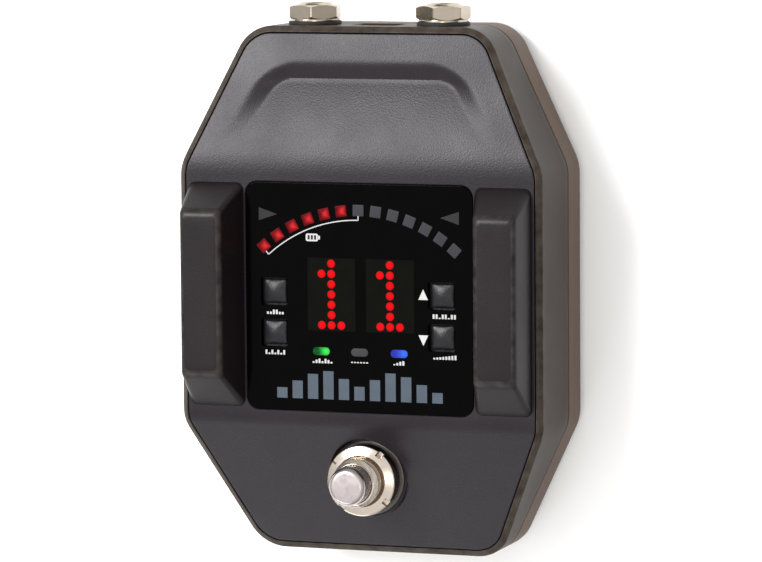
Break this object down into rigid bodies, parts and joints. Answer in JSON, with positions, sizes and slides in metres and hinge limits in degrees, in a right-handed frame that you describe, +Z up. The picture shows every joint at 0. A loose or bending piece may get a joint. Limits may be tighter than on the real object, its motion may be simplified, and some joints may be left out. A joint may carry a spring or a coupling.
{
  "type": "guitar wireless floor pedal",
  "caption": "Floor pedal unit of a guitar wireless set: cast housing, display window, push buttons, sprung footswitch and plug jacks on the rear wall.",
  "frame": {"origin": "on the floor under the feet, at the middle of the pedal's overall box", "axes": "+X to the player's right, +Y towards the jack wall, +Z up out of the floor"},
  "size_m": [0.094, 0.1372, 0.0478],
  "materials": {
    "housing": "dark satin paint on a casting",
    "cover": "fine-grained dark grey satin paint",
    "tray": "dark warm grey paint",
    "guard": "moulded dark grey, lightly textured",
    "window": "polished black",
    "black_plastic": "moulded black",
    "light_red": "lit red",
    "light_dark": "unlit smoked",
    "light_green": "lit green",
    "light_blue": "lit blue",
    "light_grey": "unlit grey",
    "button": "smoked translucent",
    "nickel": "polished nickel plate",
    "steel": "zinc plated",
    "brass": "tinned brass",
    "board": "green solder mask",
    "shield": "tinned sheet",
    "rubber": "black rubber",
    "cable": "grey insulation",
    "blue_plastic": "blue moulded"
  },
  "bodies": {
    "pedal": {"housing": "housing", "top_cover": "cover", "cover_gasket": "rubber", "antenna_cover_left": "guard", "antenna_cover_right": "guard", "antenna_board_left": "board", "antenna_board_right": "board", "antenna_cable_left": "cable", "antenna_cable_right": "cable", "display_window": "window", "light_shroud": "black_plastic", "display_board": "board", "digit_left": "black_plastic", "digit_right": "black_plastic", "meter_lights_lit": "light_red", "meter_lights_dark": "light_dark", "status_light_left": "light_green", "status_light_middle": "light_grey", "status_light_right": "light_blue", "button_switches": "black_plastic", "display_screws": "steel", "footswitch_bushing": "nickel", "footswitch_body": "blue_plastic", "footswitch_lugs": "brass", "footswitch_nut": "nickel", "footswitch_washer": "steel", "footswitch_spring": "steel", "footswitch_cable": "cable", "jack_body_left": "black_plastic", "jack_body_right": "black_plastic", "jack_sleeve_left": "nickel", "jack_sleeve_right": "nickel", "jack_nuts": "nickel", "jack_washers": "nickel", "jack_seals": "rubber", "jack_contacts": "brass", "power_socket": "black_plastic", "power_socket_pin": "nickel", "main_board": "board", "radio_shield": "shield", "capacitors": "blue_plastic", "processor_chip": "black_plastic", "ribbon_cable": "cable", "board_screws": "steel", "base_gasket": "rubber", "bottom_tray": "tray", "base_screws": "steel", "cover_screws": "steel", "antenna_cover_screws": "steel", "rubber_feet": "rubber"},
    "footswitch_plunger": {"footswitch_cap": "nickel"},
    "button_left_rear_cap": {"button_left_rear": "button"},
    "button_left_front_cap": {"button_left_front": "button"},
    "button_right_rear_cap": {"button_right_rear": "button"},
    "button_right_front_cap": {"button_right_front": "button"}
  },
  "joints": [
    {"name": "footswitch_press", "type": "slide", "parent": "pedal", "child": "footswitch_plunger", "axis": [0, 0, -1], "range_m": [0, 0.0025], "stiffness_N_per_m": 2400, "springref_m": -0.0015, "deforming": ["footswitch_spring"]},
    {"name": "button_left_rear_press", "type": "slide", "parent": "pedal", "child": "button_left_rear_cap", "axis": [0, 0, -1], "range_m": [0, 0.00035], "stiffness_N_per_m": 600, "springref_m": -0.0004},
    {"name": "button_left_front_press", "type": "slide", "parent": "pedal", "child": "button_left_front_cap", "axis": [0, 0, -1], "range_m": [0, 0.00035], "stiffness_N_per_m": 600, "springref_m": -0.0004},
    {"name": "button_right_rear_press", "type": "slide", "parent": "pedal", "child": "button_right_rear_cap", "axis": [0, 0, -1], "range_m": [0, 0.00035], "stiffness_N_per_m": 600, "springref_m": -0.0004},
    {"name": "button_right_front_press", "type": "slide", "parent": "pedal", "child": "button_right_front_cap", "axis": [0, 0, -1], "range_m": [0, 0.00035], "stiffness_N_per_m": 600, "springref_m": -0.0004}
  ]
}
